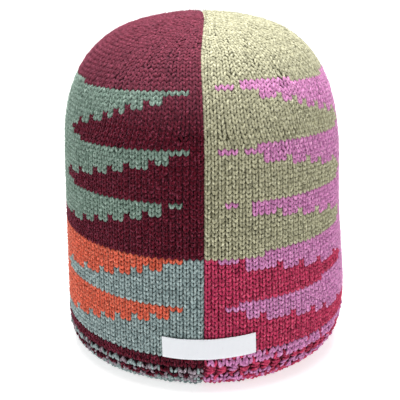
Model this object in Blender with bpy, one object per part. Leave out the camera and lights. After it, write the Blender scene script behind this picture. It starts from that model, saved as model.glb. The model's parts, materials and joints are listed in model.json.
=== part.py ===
"""A knitted wool hat: two halves seamed together at the front, over the top and at the back.

Each half has a crown panel, a side panel of another yarn below it, and a thick hem that curls under.
A woven tape label lies on the front, across the seam. The hat is open below and stands on its rim.
Metres, +Z up. The front faces -Y, and -X is on the left as seen from the front. The origin is on the
surface that the rim stands on, under the top of the crown.
"""

import math
from typing import Callable, NamedTuple

import bmesh
import bpy
from mathutils import Vector

# Overall form
HEIGHT = 0.201
HALF_WIDTH = 0.085
HALF_DEPTH = 0.0875

# Panels, measured up the hat from the surface it stands on
HEM_HEIGHT = 0.0225
COLOUR_CHANGE_HEIGHT = 0.083

# Thickness of the knitting, and the flat ring that the hem stands on
WALL = 0.0035
HEM_WALL = 0.0045
STANDING_RING = 0.0055

# Label
LABEL_LENGTH = 0.0540
LABEL_WIDTH = 0.0128
LABEL_THICKNESS = 0.0009
LABEL_SAG = 0.0013
LABEL_SIDE_STEP = 0.0025
LABEL_TILT_DEGREES = 2.1

# Clearance between pieces that touch
CLEARANCE = 0.0003

# Fineness of the faceted walls
COLUMNS_PER_HALF = 30
CROWN_ROWS = 15
SIDE_ROWS = 7
HEM_ROWS = 5
LABEL_COLUMNS = 18
LABEL_ROWS = 3
PROBE = 1e-3

LEFT, RIGHT = -1, 1


class Section(NamedTuple):
    """One level of the hat's outer form. Every value is a share of the size named beside it."""

    height: float  # of HEIGHT
    width: float  # of HALF_WIDTH, and of HALF_DEPTH
    seam: float  # how far the seam stands off the middle, of HALF_WIDTH
    bias: float  # how much wider the right half is than the left, of the section's own width


SECTIONS = (
    Section(height=0.000, width=0.855, seam=-0.010, bias=-0.020),
    Section(height=0.020, width=0.923, seam=-0.006, bias=-0.010),
    Section(height=0.050, width=0.975, seam=-0.002, bias=0.003),
    Section(height=0.115, width=1.000, seam=0.000, bias=0.014),
    Section(height=0.200, width=1.003, seam=0.000, bias=0.015),
    Section(height=0.310, width=0.992, seam=0.000, bias=0.005),
    Section(height=0.420, width=0.983, seam=0.000, bias=-0.006),
    Section(height=0.520, width=0.979, seam=0.000, bias=-0.012),
    Section(height=0.620, width=0.975, seam=0.000, bias=-0.015),
    Section(height=0.715, width=0.955, seam=0.000, bias=-0.022),
    Section(height=0.800, width=0.904, seam=-0.004, bias=-0.018),
    Section(height=0.865, width=0.829, seam=-0.011, bias=-0.011),
    Section(height=0.915, width=0.731, seam=-0.018, bias=0.002),
    Section(height=0.952, width=0.609, seam=-0.021, bias=0.018),
    Section(height=0.979, width=0.424, seam=-0.015, bias=0.044),
    Section(height=0.994, width=0.222, seam=-0.005, bias=0.080),
    Section(height=1.000, width=0.000, seam=0.000, bias=0.000),
)


class Dent(NamedTuple):
    """A soft hollow where the knitting sinks in, or a swell where its depth is negative."""

    turn: float  # degrees round the hat from the front, positive to the right
    height: float  # of HEIGHT
    turn_spread: float  # degrees
    height_spread: float  # of HEIGHT
    depth: float  # of HALF_WIDTH


DENTS = (
    Dent(turn=-72, height=0.66, turn_spread=9, height_spread=0.13, depth=0.012),
    Dent(turn=-48, height=0.34, turn_spread=20, height_spread=0.10, depth=-0.006),
    Dent(turn=58, height=0.62, turn_spread=15, height_spread=0.12, depth=0.009),
    Dent(turn=40, height=0.24, turn_spread=20, height_spread=0.08, depth=-0.007),
    Dent(turn=118, height=0.50, turn_spread=16, height_spread=0.14, depth=0.014),
    Dent(turn=-128, height=0.55, turn_spread=18, height_spread=0.16, depth=0.012),
    Dent(turn=172, height=0.30, turn_spread=22, height_spread=0.10, depth=-0.008),
)


def blend_sections(place: float) -> Section:
    """Reads the form between two sections on a smooth curve through all of them."""
    last = len(SECTIONS) - 1
    index = min(int(place), last - 1)
    t = place - index
    before = SECTIONS[max(index - 1, 0)]
    start, end = SECTIONS[index], SECTIONS[index + 1]
    after = SECTIONS[min(index + 2, last)]

    def curve(a: float, b: float, c: float, d: float) -> float:
        slope_in, slope_out = (c - a) / 2, (d - b) / 2
        return (
            (2 * t**3 - 3 * t**2 + 1) * b
            + (t**3 - 2 * t**2 + t) * slope_in
            + (3 * t**2 - 2 * t**3) * c
            + (t**3 - t**2) * slope_out
        )

    return Section(*(curve(*values) for values in zip(before, start, end, after)))


def place_at(height: float) -> float:
    """Finds the place along the sections that lies at a height in metres."""
    low, high = 0.0, float(len(SECTIONS) - 1)
    for _ in range(40):
        middle = (low + high) / 2
        if blend_sections(middle).height * HEIGHT < height:
            low = middle
        else:
            high = middle
    return (low + high) / 2


def sink(turn: float, height: float) -> float:
    """Adds up how far the dents push the wall in, in metres, at a turn in radians."""
    total = 0.0
    for dent in DENTS:
        away = (math.degrees(turn) - dent.turn + 180) % 360 - 180
        reach = (away / dent.turn_spread) ** 2 + ((height - dent.height) / dent.height_spread) ** 2
        total += dent.depth * HALF_WIDTH * math.exp(-reach / 2)
    return total


def outer_point(place: float, turn: float) -> Vector:
    """A point of the hat's outer surface. turn is in radians from the front, positive to the right."""
    section = blend_sections(place)
    side = RIGHT if math.sin(turn) > 0 else LEFT
    pushed = sink(turn, section.height) * min(section.width, 1.0)
    half_width = HALF_WIDTH * section.width * (1 + side * section.bias) - pushed
    half_depth = HALF_DEPTH * section.width - pushed
    return Vector((
        section.seam * HALF_WIDTH + half_width * math.sin(turn),
        -half_depth * math.cos(turn),
        section.height * HEIGHT,
    ))


def outward(place: float, turn: float) -> Vector:
    """The outer surface's normal, measured between points a probe's step away."""
    top = len(SECTIONS) - 1
    if place > top - PROBE:
        return Vector((0, 0, 1))
    up = outer_point(place + PROBE, turn) - outer_point(max(place - PROBE, 0), turn)
    along = outer_point(place, turn + PROBE) - outer_point(place, turn - PROBE)
    return along.cross(up).normalized()


def on_seam(place: float, turn: float) -> bool:
    """Says whether a point lies where the two halves meet: at the front, the back or the very top."""
    return abs(math.sin(turn)) < PROBE or place > len(SECTIONS) - 1 - PROBE


def wall_pair(place: float, turn: float, side: int, wall: float) -> tuple[Vector, Vector]:
    """The outer and the inner point of a half's wall. On the seam both stand half a clearance off it."""
    outer = outer_point(place, turn)
    inner = outer - outward(place, turn) * wall
    if on_seam(place, turn):
        outer.x = inner.x = blend_sections(place).seam * HALF_WIDTH + side * CLEARANCE / 2
    return outer, inner


def rim_pair(turn: float, side: int) -> tuple[Vector, Vector]:
    """The two edges of the flat ring that the hem stands on."""
    edge = wall_pair(0, turn, side, HEM_WALL)[0]
    inner = edge + Vector((-math.sin(turn), math.cos(turn), 0)) * STANDING_RING
    if on_seam(0, turn):
        inner.x = edge.x
    return edge, inner


def half_turns(side: int) -> list[float]:
    """The columns of one half, from the front seam round to the back seam."""
    return [side * math.pi * column / COLUMNS_PER_HALF for column in range(COLUMNS_PER_HALF + 1)]


def close_wall(name: str, pairs: list[list[tuple[Vector, Vector]]], side: int) -> bpy.types.Object:
    """Joins rows of outer and inner points into one closed wall with flat ends."""
    mesh = bmesh.new()
    outer = [[mesh.verts.new(pair[0]) for pair in row] for row in pairs]
    inner = [[mesh.verts.new(pair[1]) for pair in row] for row in pairs]

    def face(*corners: bmesh.types.BMVert) -> None:
        mesh.faces.new(corners if side == RIGHT else corners[::-1])

    for low in range(len(pairs) - 1):
        for column in range(len(pairs[low]) - 1):
            a, b = column, column + 1
            if len(pairs[low + 1]) == 1:
                face(outer[low][a], outer[low][b], outer[low + 1][0])
                face(inner[low][b], inner[low][a], inner[low + 1][0])
            else:
                face(outer[low][a], outer[low][b], outer[low + 1][b], outer[low + 1][a])
                face(inner[low][b], inner[low][a], inner[low + 1][a], inner[low + 1][b])
        for end in (0, -1):
            ring = (outer[low][end], outer[low + 1][end], inner[low + 1][end], inner[low][end])
            face(*(ring if end == 0 else ring[::-1]))
    for column in range(len(pairs[0]) - 1):
        face(inner[0][column], inner[0][column + 1], outer[0][column + 1], outer[0][column])
        if len(pairs[-1]) > 1:
            face(outer[-1][column], outer[-1][column + 1], inner[-1][column + 1], inner[-1][column])
    return finish(name, mesh)


def finish(name: str, mesh: bmesh.types.BMesh) -> bpy.types.Object:
    """Turns a finished bmesh into an object of the scene, shaded smooth between its sharp edges."""
    bmesh.ops.triangulate(mesh, faces=mesh.faces[:])
    data = bpy.data.meshes.new(name)
    mesh.to_mesh(data)
    mesh.free()
    data.shade_smooth()
    data.set_sharp_from_angle(angle=math.radians(40))
    piece = bpy.data.objects.new(name, data)
    bpy.context.scene.collection.objects.link(piece)
    return piece


def yarn(name: str, colour: tuple[float, float, float], roughness: float) -> bpy.types.Material:
    """A plain matt material in the colour of one yarn."""
    material = bpy.data.materials.new(name)
    material.use_nodes = True
    shader = material.node_tree.nodes["Principled BSDF"]
    shader.inputs["Base Color"].default_value = (*colour, 1.0)
    shader.inputs["Roughness"].default_value = roughness
    shader.inputs["Metallic"].default_value = 0.0
    return material


def panel_rows(low: float, high: float, rows: int, side: int, wall: float) -> list:
    """Rows of wall points between two heights in metres, spaced evenly along the hat's form."""
    start, end = place_at(low), place_at(high)
    places = [start + (end - start) * row / rows for row in range(rows + 1)]
    return [[wall_pair(place, turn, side, wall) for turn in half_turns(side)] for place in places]


def make_crown(name: str, side: int) -> bpy.types.Object:
    """The upper panel of one half, closed over the top of the head."""
    top = len(SECTIONS) - 1
    start = place_at(COLOUR_CHANGE_HEIGHT + CLEARANCE / 2)
    places = [start + (top - start) * row / CROWN_ROWS for row in range(CROWN_ROWS)]
    rows = [[wall_pair(place, turn, side, WALL) for turn in half_turns(side)] for place in places]
    rows.append([wall_pair(top, 0.0, side, WALL)])
    return close_wall(name, rows, side)


def make_side(name: str, side: int) -> bpy.types.Object:
    """The lower panel of one half, between the hem and the colour change."""
    low = HEM_HEIGHT + CLEARANCE / 2
    high = COLOUR_CHANGE_HEIGHT - CLEARANCE / 2
    return close_wall(name, panel_rows(low, high, SIDE_ROWS, side, WALL), side)


def make_hem(name: str, side: int) -> bpy.types.Object:
    """The hem of one half: thicker than the wall, curled under, and flat where it stands."""
    ring = [rim_pair(turn, side) for turn in half_turns(side)]
    above = panel_rows(0, HEM_HEIGHT - CLEARANCE / 2, HEM_ROWS, side, HEM_WALL)[1:]
    return close_wall(name, [ring, *above], side)


def label_point(along: float, up: float, stand_off: float) -> Vector:
    """A point over the label's middle, in metres along and up it, at a distance off the wall."""
    tilt = math.radians(LABEL_TILT_DEGREES)
    middle = HEM_HEIGHT + LABEL_WIDTH / 2
    lifted = LABEL_SAG * (2 * along / LABEL_LENGTH) ** 2
    level = middle + lifted + up * math.cos(tilt) + along * math.sin(tilt)
    reach = LABEL_SIDE_STEP + along * math.cos(tilt) - up * math.sin(tilt)
    place = place_at(level)
    turn = reach / (HALF_WIDTH * blend_sections(place).width)
    return outer_point(place, turn) + outward(place, turn) * stand_off


def make_label(name: str) -> bpy.types.Object:
    """The woven tape: a thin strip bent to the front of the hat, a clearance off its surface."""
    lengthwise = [LABEL_LENGTH * (column / LABEL_COLUMNS - 0.5) for column in range(LABEL_COLUMNS + 1)]
    crosswise = [LABEL_WIDTH * (row / LABEL_ROWS - 0.5) for row in range(LABEL_ROWS + 1)]
    rows = [
        [
            (
                label_point(along, up, CLEARANCE + LABEL_THICKNESS),
                label_point(along, up, CLEARANCE),
            )
            for along in lengthwise
        ]
        for up in crosswise
    ]
    return close_wall(name, rows, RIGHT)


class Piece(NamedTuple):
    """A piece of the hat, how it is made, and the yarn it is knitted or woven from."""

    name: str
    make: Callable[[str], bpy.types.Object]
    yarn: str
    colour: tuple[float, float, float]
    roughness: float


PIECES = (
    Piece("crown_left", lambda name: make_crown(name, LEFT), "burgundy_wool", (0.085, 0.012, 0.024), 0.92),
    Piece("crown_right", lambda name: make_crown(name, RIGHT), "khaki_wool", (0.30, 0.28, 0.18), 0.92),
    Piece("side_left", lambda name: make_side(name, LEFT), "grey_wool", (0.19, 0.25, 0.25), 0.92),
    Piece("side_right", lambda name: make_side(name, RIGHT), "crimson_wool", (0.34, 0.035, 0.080), 0.92),
    Piece("hem_left", lambda name: make_hem(name, LEFT), "burgundy_grey_wool", (0.12, 0.085, 0.090), 0.94),
    Piece("hem_right", lambda name: make_hem(name, RIGHT), "crimson_pink_wool", (0.42, 0.10, 0.20), 0.94),
    Piece("label", make_label, "white_woven_tape", (0.83, 0.85, 0.90), 0.70),
)


def main() -> None:
    """Clears the scene and builds the hat, piece by piece."""
    for left_over in list(bpy.data.objects):
        bpy.data.objects.remove(left_over)
    for piece in PIECES:
        made = piece.make(piece.name)
        made.data.materials.append(yarn(piece.yarn, piece.colour, piece.roughness))


main()
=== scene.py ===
"""A knitted wool hat standing on its hem, in chunky stocking stitch with wedge stripes and a bare label.

The knitting is worked stitch by stitch. One stroke of yarn is modelled once and copied along the wales and
courses of each half, over a thin backing of the same yarn, and both are laid on the hat's form. The front
faces -Y, and a turn round the hat is measured from the front, positive to the right.
"""

import json
import logging
import math
from collections.abc import Iterator
from contextlib import contextmanager
from dataclasses import dataclass, field, replace
from enum import Enum
from typing import NamedTuple

import bpy
import numpy as np
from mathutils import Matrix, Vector

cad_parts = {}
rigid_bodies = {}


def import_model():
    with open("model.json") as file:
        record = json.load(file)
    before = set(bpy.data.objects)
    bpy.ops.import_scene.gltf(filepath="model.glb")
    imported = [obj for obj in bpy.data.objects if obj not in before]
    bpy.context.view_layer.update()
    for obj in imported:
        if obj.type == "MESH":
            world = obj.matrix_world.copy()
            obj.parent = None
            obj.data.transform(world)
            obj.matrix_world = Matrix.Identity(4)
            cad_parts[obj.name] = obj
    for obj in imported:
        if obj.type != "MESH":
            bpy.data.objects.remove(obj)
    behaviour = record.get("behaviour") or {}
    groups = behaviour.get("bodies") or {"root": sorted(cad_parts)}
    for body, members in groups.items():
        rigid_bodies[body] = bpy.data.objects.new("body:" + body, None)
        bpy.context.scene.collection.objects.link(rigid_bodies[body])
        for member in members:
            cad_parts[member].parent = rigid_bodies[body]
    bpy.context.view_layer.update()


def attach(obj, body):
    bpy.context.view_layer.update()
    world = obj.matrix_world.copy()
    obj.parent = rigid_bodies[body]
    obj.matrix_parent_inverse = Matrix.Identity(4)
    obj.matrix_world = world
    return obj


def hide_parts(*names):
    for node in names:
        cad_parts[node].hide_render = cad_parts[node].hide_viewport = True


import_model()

LOG = logging.getLogger("wool_hat")
MM = 1e-3
FLOOR_CLEARANCE = 0.1 * MM  # yarn that would sink into the surface lies flat on it
MERGE_DISTANCE = 0.02 * MM  # corners nearer than this are one

# A Mix node's colour sockets go by number, because they share their names with others.
MIX_SHARE = 0
MIX_LOW = 6
MIX_HIGH = 7
MIX_RESULT = 2  # among its outputs


class Side(Enum):
    """A half of the hat, with the sign of its turns from the front."""

    LEFT = -1
    RIGHT = 1


# Small helpers


def linear(hex_colour: str, alpha: float = 1.0) -> tuple[float, float, float, float]:
    """Turns an sRGB hex colour such as "aabbcc" to a linear colour with alpha."""
    shares = [int(hex_colour[i:i + 2], 16) / 255 for i in (0, 2, 4)]
    return (*(c / 12.92 if c <= 0.04045 else ((c + 0.055) / 1.055) ** 2.4 for c in shares), alpha)


def add_node(
    tree: bpy.types.NodeTree,
    kind: str,
    values: dict | None = None,
    links: dict | None = None,
    **options: object,
) -> bpy.types.Node:
    """Adds a node with its settings and links.

    Args:
        tree: the node tree that it goes into.
        kind: Blender's name for the node's type.
        values: what each of its input sockets is set to, by name or number.
        links: the output socket that feeds each of its inputs, by name or number.
        **options: the node's own settings.

    Returns:
        The new node.
    """
    node = tree.nodes.new(kind)
    for name, value in options.items():
        setattr(node, name, value)
    for socket, value in (values or {}).items():
        node.inputs[socket].default_value = value
    for socket, source in (links or {}).items():
        tree.links.new(source, node.inputs[socket])
    return node


def new_material(name: str, settings: dict) -> tuple[bpy.types.Material, bpy.types.Node]:
    """Makes a material.

    Args:
        name: its name.
        settings: what each socket of its shader is set to, by name.

    Returns:
        The material and its shader.
    """
    made = bpy.data.materials.new(name)
    made.use_nodes = True
    shader = made.node_tree.nodes["Principled BSDF"]
    for socket, value in settings.items():
        shader.inputs[socket].default_value = value
    return made, shader


def deselect_all() -> None:
    """Leaves nothing selected, so that an operator acts only on what comes next."""
    for thing in bpy.context.view_layer.objects:
        thing.select_set(False)


def make_active(piece: bpy.types.Object) -> None:
    """Makes a piece the only selected and the active one.

    Args:
        piece: the piece.
    """
    deselect_all()
    piece.select_set(True)
    bpy.context.view_layer.objects.active = piece


@contextmanager
def edit_mode() -> Iterator[None]:
    """Shapes the active piece in edit mode, with all of it selected at first."""
    bpy.ops.object.mode_set(mode="EDIT")
    bpy.ops.mesh.select_all(action="SELECT")
    yield
    bpy.ops.object.mode_set(mode="OBJECT")


def apply_modifier(piece: bpy.types.Object, kind: str, **settings: float) -> None:
    """Gives the active piece a modifier and applies it.

    Args:
        piece: the active piece.
        kind: Blender's name for the modifier's type.
        **settings: the modifier's own settings.
    """
    modifier = piece.modifiers.new(kind.lower(), kind)
    for name, value in settings.items():
        setattr(modifier, name, value)
    bpy.ops.object.modifier_apply(modifier=modifier.name)


def join_pieces(pieces: list[bpy.types.Object], name: str) -> bpy.types.Object:
    """Joins meshes into one.

    Args:
        pieces: the meshes, the first of which keeps its material slots.
        name: the name of the joined piece.

    Returns:
        The joined piece, at the origin.
    """
    make_active(pieces[0])
    for piece in pieces:
        piece.select_set(True)
    bpy.ops.object.join()
    joined = bpy.context.view_layer.objects.active
    joined.name = name
    joined.data.name = name
    return joined


def corners(piece: bpy.types.Object) -> np.ndarray:
    """Reads the corners of a piece's mesh."""
    return np.array([vertex.co for vertex in piece.data.vertices])


def flat_wall(name: str, wales: int, rows: int, kept: np.ndarray | None = None) -> bpy.types.Object:
    """Models a flat closed wall, one unit thick, with a cell of one unit for each wale and row.

    Args:
        name: its name.
        wales: how many cells it has along.
        rows: how many cells it has up.
        kept: which cells it keeps, as rows by wales. It keeps all of them where this is left out.

    Returns:
        The wall, with its outer face at height 0 and its inner face under it.
    """
    deselect_all()
    bpy.ops.mesh.primitive_grid_add(x_subdivisions=wales, y_subdivisions=rows, size=1.0)
    wall = bpy.context.object
    wall.name = name
    with edit_mode():
        bpy.ops.transform.translate(value=(0.5, 0.5, 0.0))
        bpy.ops.transform.resize(value=(wales, rows, 1.0), center_override=(0.0, 0.0, 0.0))
        bpy.ops.mesh.select_all(action="DESELECT")
    if kept is not None:
        for face in wall.data.polygons:
            face.select = not kept[int(face.center.y), int(face.center.x)]
        bpy.ops.object.mode_set(mode="EDIT")
        bpy.ops.mesh.select_mode(type="FACE")
        bpy.ops.mesh.delete(type="FACE")
        bpy.ops.object.mode_set(mode="OBJECT")
    apply_modifier(wall, "SOLIDIFY", thickness=1.0, offset=-1.0)
    return wall


def lay_wall(wall: bpy.types.Object, points: np.ndarray) -> None:
    """Moves a flat wall's corners to their places on the hat and closes it where they meet.

    Args:
        wall: the wall, which gets the UV map "strand" and the attribute "shade".
        points: where each of its corners goes.
    """
    wall.data.vertices.foreach_set("co", points.ravel())
    wall.data.update()
    make_active(wall)
    with edit_mode():
        bpy.ops.mesh.remove_doubles(threshold=MERGE_DISTANCE)
        bpy.ops.mesh.normals_make_consistent(inside=False)
    wall.data.shade_smooth()
    wall.data.uv_layers[0].name = "strand"
    # Painted shade: a shade of 0 paints the whole wall in its yarn's shade colour.
    shade = wall.data.attributes.new("shade", "FLOAT", "POINT")
    shade.data.foreach_set("value", np.zeros(len(wall.data.vertices)))


# Finishes


@dataclass(frozen=True)
class WoolFinish:
    """Woollen-spun, two-ply sheep's wool, dyed in the fleece.

    The plies twist round each other, loose fibres stand off the yarn and catch the light at the hat's edge,
    and the dye is uneven from fibre to fibre, so that each stitch is a little different.
    """

    name: str
    body: str
    # The next colour is painted shade: what the yarn darkens to in the knitting's hollows.
    hollow_shade: str
    fleck: str
    # The halo tint colours the real sheen and also the painted highlight on the crown.
    halo: str
    sheen: float = 0.42
    painted_top_highlight: float = 0.05  # painted highlight: how far the colour pales towards the halo tint high on the crown, under the top light

    PLY_TURNS = 3.0
    PLY_RELIEF = 0.16 * MM
    FIBRE_RELIEF = 0.10 * MM
    # Each noise: its grain in metres, its detail, roughness and distortion.
    NOISES = {
        "dye": (2.2 * MM, 2.0, 0.6, 0.0),
        "fibre": (0.6 * MM, 2.0, 0.7, 0.6),
        "fleck": (1.1 * MM, 1.0, 0.5, 0.0),
    }
    # Each share: the lowest and the highest value of its source, and what the share is there.
    DYE_TONES = (0.3, 0.7, 0.76, 1.24)
    FIBRE_TONES = (0.3, 0.7, 0.68, 1.32)
    FLECKS = (0.54, 0.70, 0.0, 0.7)
    # Painted highlight: it grows from nothing to full between these heights.
    TOP_HIGHLIGHT_HEIGHTS = (0.153, 0.176)  # in metres

    @property
    def material_name(self) -> str:
        """The material's name, apart from the plain one of the record's slot."""
        return f"two_ply_{self.name}"

    def material(self) -> bpy.types.Material:
        """Builds the material from the strands' UV map and painted shade, with a painted crown highlight.

        Returns:
            The new material.
        """
        made, shader = new_material(self.material_name, {
            "Roughness": 0.92,
            "IOR": 1.54,
            "Specular IOR Level": 0.08,
            "Sheen Weight": self.sheen,
            "Sheen Roughness": 0.36,
            "Sheen Tint": linear(self.halo),
        })
        tree = made.node_tree
        place = add_node(tree, "ShaderNodeTexCoord").outputs["Object"]
        strand = add_node(tree, "ShaderNodeUVMap", uv_map="strand")
        shade = add_node(tree, "ShaderNodeAttribute", attribute_name="shade")
        height = add_node(tree, "ShaderNodeSeparateXYZ", None, {"Vector": place})
        noise = {
            name: add_node(
                tree, "ShaderNodeTexNoise",
                {"Scale": 1 / grain, "Detail": detail, "Roughness": roughness, "Distortion": distortion},
                {"Vector": place},
            ).outputs["Fac"]
            for name, (grain, detail, roughness, distortion) in self.NOISES.items()
        }
        sources = {
            "dye": (noise["dye"], self.DYE_TONES),
            "fibre": (noise["fibre"], self.FIBRE_TONES),
            "fleck": (noise["fleck"], self.FLECKS),
            "top_highlight": (height.outputs["Z"], (*self.TOP_HIGHLIGHT_HEIGHTS, 0.0, self.painted_top_highlight)),
        }
        share = {
            name: add_node(
                tree, "ShaderNodeMapRange",
                dict(zip(("From Min", "From Max", "To Min", "To Max"), span)), {"Value": source},
            ).outputs["Result"]
            for name, (source, span) in sources.items()
        }
        ply_place = add_node(
            tree, "ShaderNodeMapping", {"Scale": (4.0, self.PLY_TURNS, 1.0)}, {"Vector": strand.outputs["UV"]}
        )
        ply = add_node(
            tree, "ShaderNodeTexWave", {"Scale": math.pi / 10, "Distortion": 0.4, "Detail": 1.0},
            {"Vector": ply_place.outputs["Vector"]}, bands_direction="DIAGONAL",
        )
        # Painted shade: the yarn darkens towards its shade colour where the attribute "shade" is low.
        lit = add_node(
            tree, "ShaderNodeMix", {MIX_LOW: linear(self.hollow_shade), MIX_HIGH: linear(self.body)},
            {MIX_SHARE: shade.outputs["Fac"]}, data_type="RGBA",
        )
        flecked = add_node(
            tree, "ShaderNodeMix", {MIX_HIGH: linear(self.fleck)},
            {MIX_SHARE: share["fleck"], MIX_LOW: lit.outputs[MIX_RESULT]}, data_type="RGBA",
        )
        # Painted highlight: the crown's top pales towards the halo tint, as the light from above falls on it.
        highlighted = add_node(
            tree, "ShaderNodeMix", {MIX_HIGH: linear(self.halo)},
            {MIX_SHARE: share["top_highlight"], MIX_LOW: flecked.outputs[MIX_RESULT]}, data_type="RGBA",
        )
        tone = add_node(
            tree, "ShaderNodeMath", None, {0: share["dye"], 1: share["fibre"]}, operation="MULTIPLY"
        )
        colour = add_node(
            tree, "ShaderNodeVectorMath", None,
            {0: highlighted.outputs[MIX_RESULT], "Scale": tone.outputs["Value"]}, operation="SCALE",
        )
        twist = add_node(
            tree, "ShaderNodeBump", {"Strength": 0.7, "Distance": self.PLY_RELIEF},
            {"Height": ply.outputs["Fac"]},
        )
        fuzz = add_node(
            tree, "ShaderNodeBump", {"Strength": 0.9, "Distance": self.FIBRE_RELIEF},
            {"Height": noise["fibre"], "Normal": twist.outputs["Normal"]},
        )
        tree.links.new(colour.outputs["Vector"], shader.inputs["Base Color"])
        tree.links.new(fuzz.outputs["Normal"], shader.inputs["Normal"])
        return made


@dataclass(frozen=True)
class TapeFinish:
    """Bleached polyester tape, woven in satin and pressed flat: a cool white with fine crosswise ribs."""

    name: str
    body: str
    shadow: str

    RIB = 0.5 * MM  # real ribs are about 0.2 mm, drawn coarser so that they show
    PICK = 0.7 * MM
    RELIEF = 0.05 * MM

    @property
    def material_name(self) -> str:
        """The material's name, apart from the plain one of the record's slot."""
        return f"satin_{self.name}"

    def material(self) -> bpy.types.Material:
        """Builds the material, which reads the tape's own UV map in metres along and across it.

        Returns:
            The new material.
        """
        made, shader = new_material(
            self.material_name, {"Roughness": 0.62, "IOR": 1.57, "Sheen Weight": 0.15}
        )
        tree = made.node_tree
        weave = add_node(tree, "ShaderNodeUVMap", uv_map="tape")
        ribs = add_node(
            tree, "ShaderNodeTexWave", {"Scale": math.pi / (10 * self.RIB), "Distortion": 0.3},
            {"Vector": weave.outputs["UV"]}, bands_direction="Y",
        )
        picks = add_node(
            tree, "ShaderNodeTexWave", {"Scale": math.pi / (10 * self.PICK), "Distortion": 0.3},
            {"Vector": weave.outputs["UV"]}, bands_direction="X",
        )
        cloth = add_node(
            tree, "ShaderNodeMath", None, {0: ribs.outputs["Fac"], 1: picks.outputs["Fac"]}, operation="ADD"
        )
        tone = add_node(
            tree, "ShaderNodeMapRange", {"From Min": 0.0, "From Max": 2.0}, {"Value": cloth.outputs["Value"]}
        )
        colour = add_node(
            tree, "ShaderNodeMix", {MIX_LOW: linear(self.shadow), MIX_HIGH: linear(self.body)},
            {MIX_SHARE: tone.outputs["Result"]}, data_type="RGBA",
        )
        relief = add_node(
            tree, "ShaderNodeBump", {"Strength": 0.6, "Distance": self.RELIEF},
            {"Height": cloth.outputs["Value"]},
        )
        tree.links.new(colour.outputs[MIX_RESULT], shader.inputs["Base Color"])
        tree.links.new(relief.outputs["Normal"], shader.inputs["Normal"])
        return made


BURGUNDY = WoolFinish(
    "burgundy_wool", body="5e1122", hollow_shade="120206", fleck="8c3e52", halo="cc7a92", sheen=0.80, painted_top_highlight=0.14
)
KHAKI = WoolFinish("khaki_wool", body="c1be9e", hollow_shade="5e5b44", fleck="d6d4b8", halo="e0ddcc")
GREY = WoolFinish("grey_wool", body="a6b9b8", hollow_shade="32474a", fleck="c2cfcc", halo="d5dedc", sheen=0.50)
CRIMSON = WoolFinish(
    "crimson_wool", body="d5426b", hollow_shade="4e0a1e", fleck="dd6c84", halo="e5809a", sheen=0.45
)
SAGE = WoolFinish("sage_wool", body="899f93", hollow_shade="33503f", fleck="aabdb1", halo="cfe0d5", sheen=0.85)
ORANGE = WoolFinish("orange_wool", body="f26e54", hollow_shade="8a2f1c", fleck="f59478", halo="f8c8b6", sheen=0.70)
PINK = WoolFinish("pink_wool", body="e295cb", hollow_shade="8c4278", fleck="eaaed3", halo="f5d4e8", sheen=0.90)
LILAC = WoolFinish("lilac_grey_wool", body="b0a1ab", hollow_shade="3c2e36", fleck="c8bcc4", halo="dcd0d8")
LABEL_TAPE = TapeFinish("white_woven_tape", body="f5f7fa", shadow="e4e8ee")


# The hat's form


class Section(NamedTuple):
    """One level of the hat's outer form. Every value is a share of the size named beside it."""

    height: float  # of the hat's height
    width: float  # of its half width, and of its half depth
    seam: float  # how far the seam stands off the middle, of the half width
    bias: float  # how much wider the right half is than the left, of the section's own width


class Dent(NamedTuple):
    """A soft hollow where the knitting sinks in, or a swell where its depth is negative."""

    turn: float  # degrees round the hat from the front, positive to the right
    height: float  # of the hat's height
    turn_spread: float  # degrees
    height_spread: float  # of the hat's height
    depth: float  # of the half width


SECTIONS = (
    Section(height=0.000, width=0.855, seam=-0.010, bias=-0.020),
    Section(height=0.020, width=0.923, seam=-0.006, bias=-0.010),
    Section(height=0.050, width=0.975, seam=-0.002, bias=0.003),
    Section(height=0.115, width=1.000, seam=0.000, bias=0.014),
    Section(height=0.200, width=1.003, seam=0.000, bias=0.015),
    Section(height=0.310, width=0.992, seam=0.000, bias=0.005),
    Section(height=0.420, width=0.983, seam=0.000, bias=-0.006),
    Section(height=0.520, width=0.979, seam=0.000, bias=-0.012),
    Section(height=0.620, width=0.975, seam=0.000, bias=-0.015),
    Section(height=0.715, width=0.955, seam=0.000, bias=-0.022),
    Section(height=0.800, width=0.904, seam=-0.004, bias=-0.018),
    Section(height=0.865, width=0.829, seam=-0.011, bias=-0.011),
    Section(height=0.915, width=0.731, seam=-0.018, bias=0.002),
    Section(height=0.952, width=0.609, seam=-0.021, bias=0.018),
    Section(height=0.979, width=0.424, seam=-0.015, bias=0.044),
    Section(height=0.994, width=0.222, seam=-0.005, bias=0.080),
    Section(height=1.000, width=0.000, seam=0.000, bias=0.000),
)
DENTS = (
    Dent(turn=-72, height=0.66, turn_spread=9, height_spread=0.13, depth=0.012),
    Dent(turn=-48, height=0.34, turn_spread=20, height_spread=0.10, depth=-0.006),
    Dent(turn=58, height=0.62, turn_spread=15, height_spread=0.12, depth=0.009),
    Dent(turn=40, height=0.24, turn_spread=20, height_spread=0.08, depth=-0.007),
    Dent(turn=118, height=0.50, turn_spread=16, height_spread=0.14, depth=0.014),
    Dent(turn=-128, height=0.55, turn_spread=18, height_spread=0.16, depth=0.012),
    Dent(turn=172, height=0.30, turn_spread=22, height_spread=0.10, depth=-0.008),
)


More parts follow.
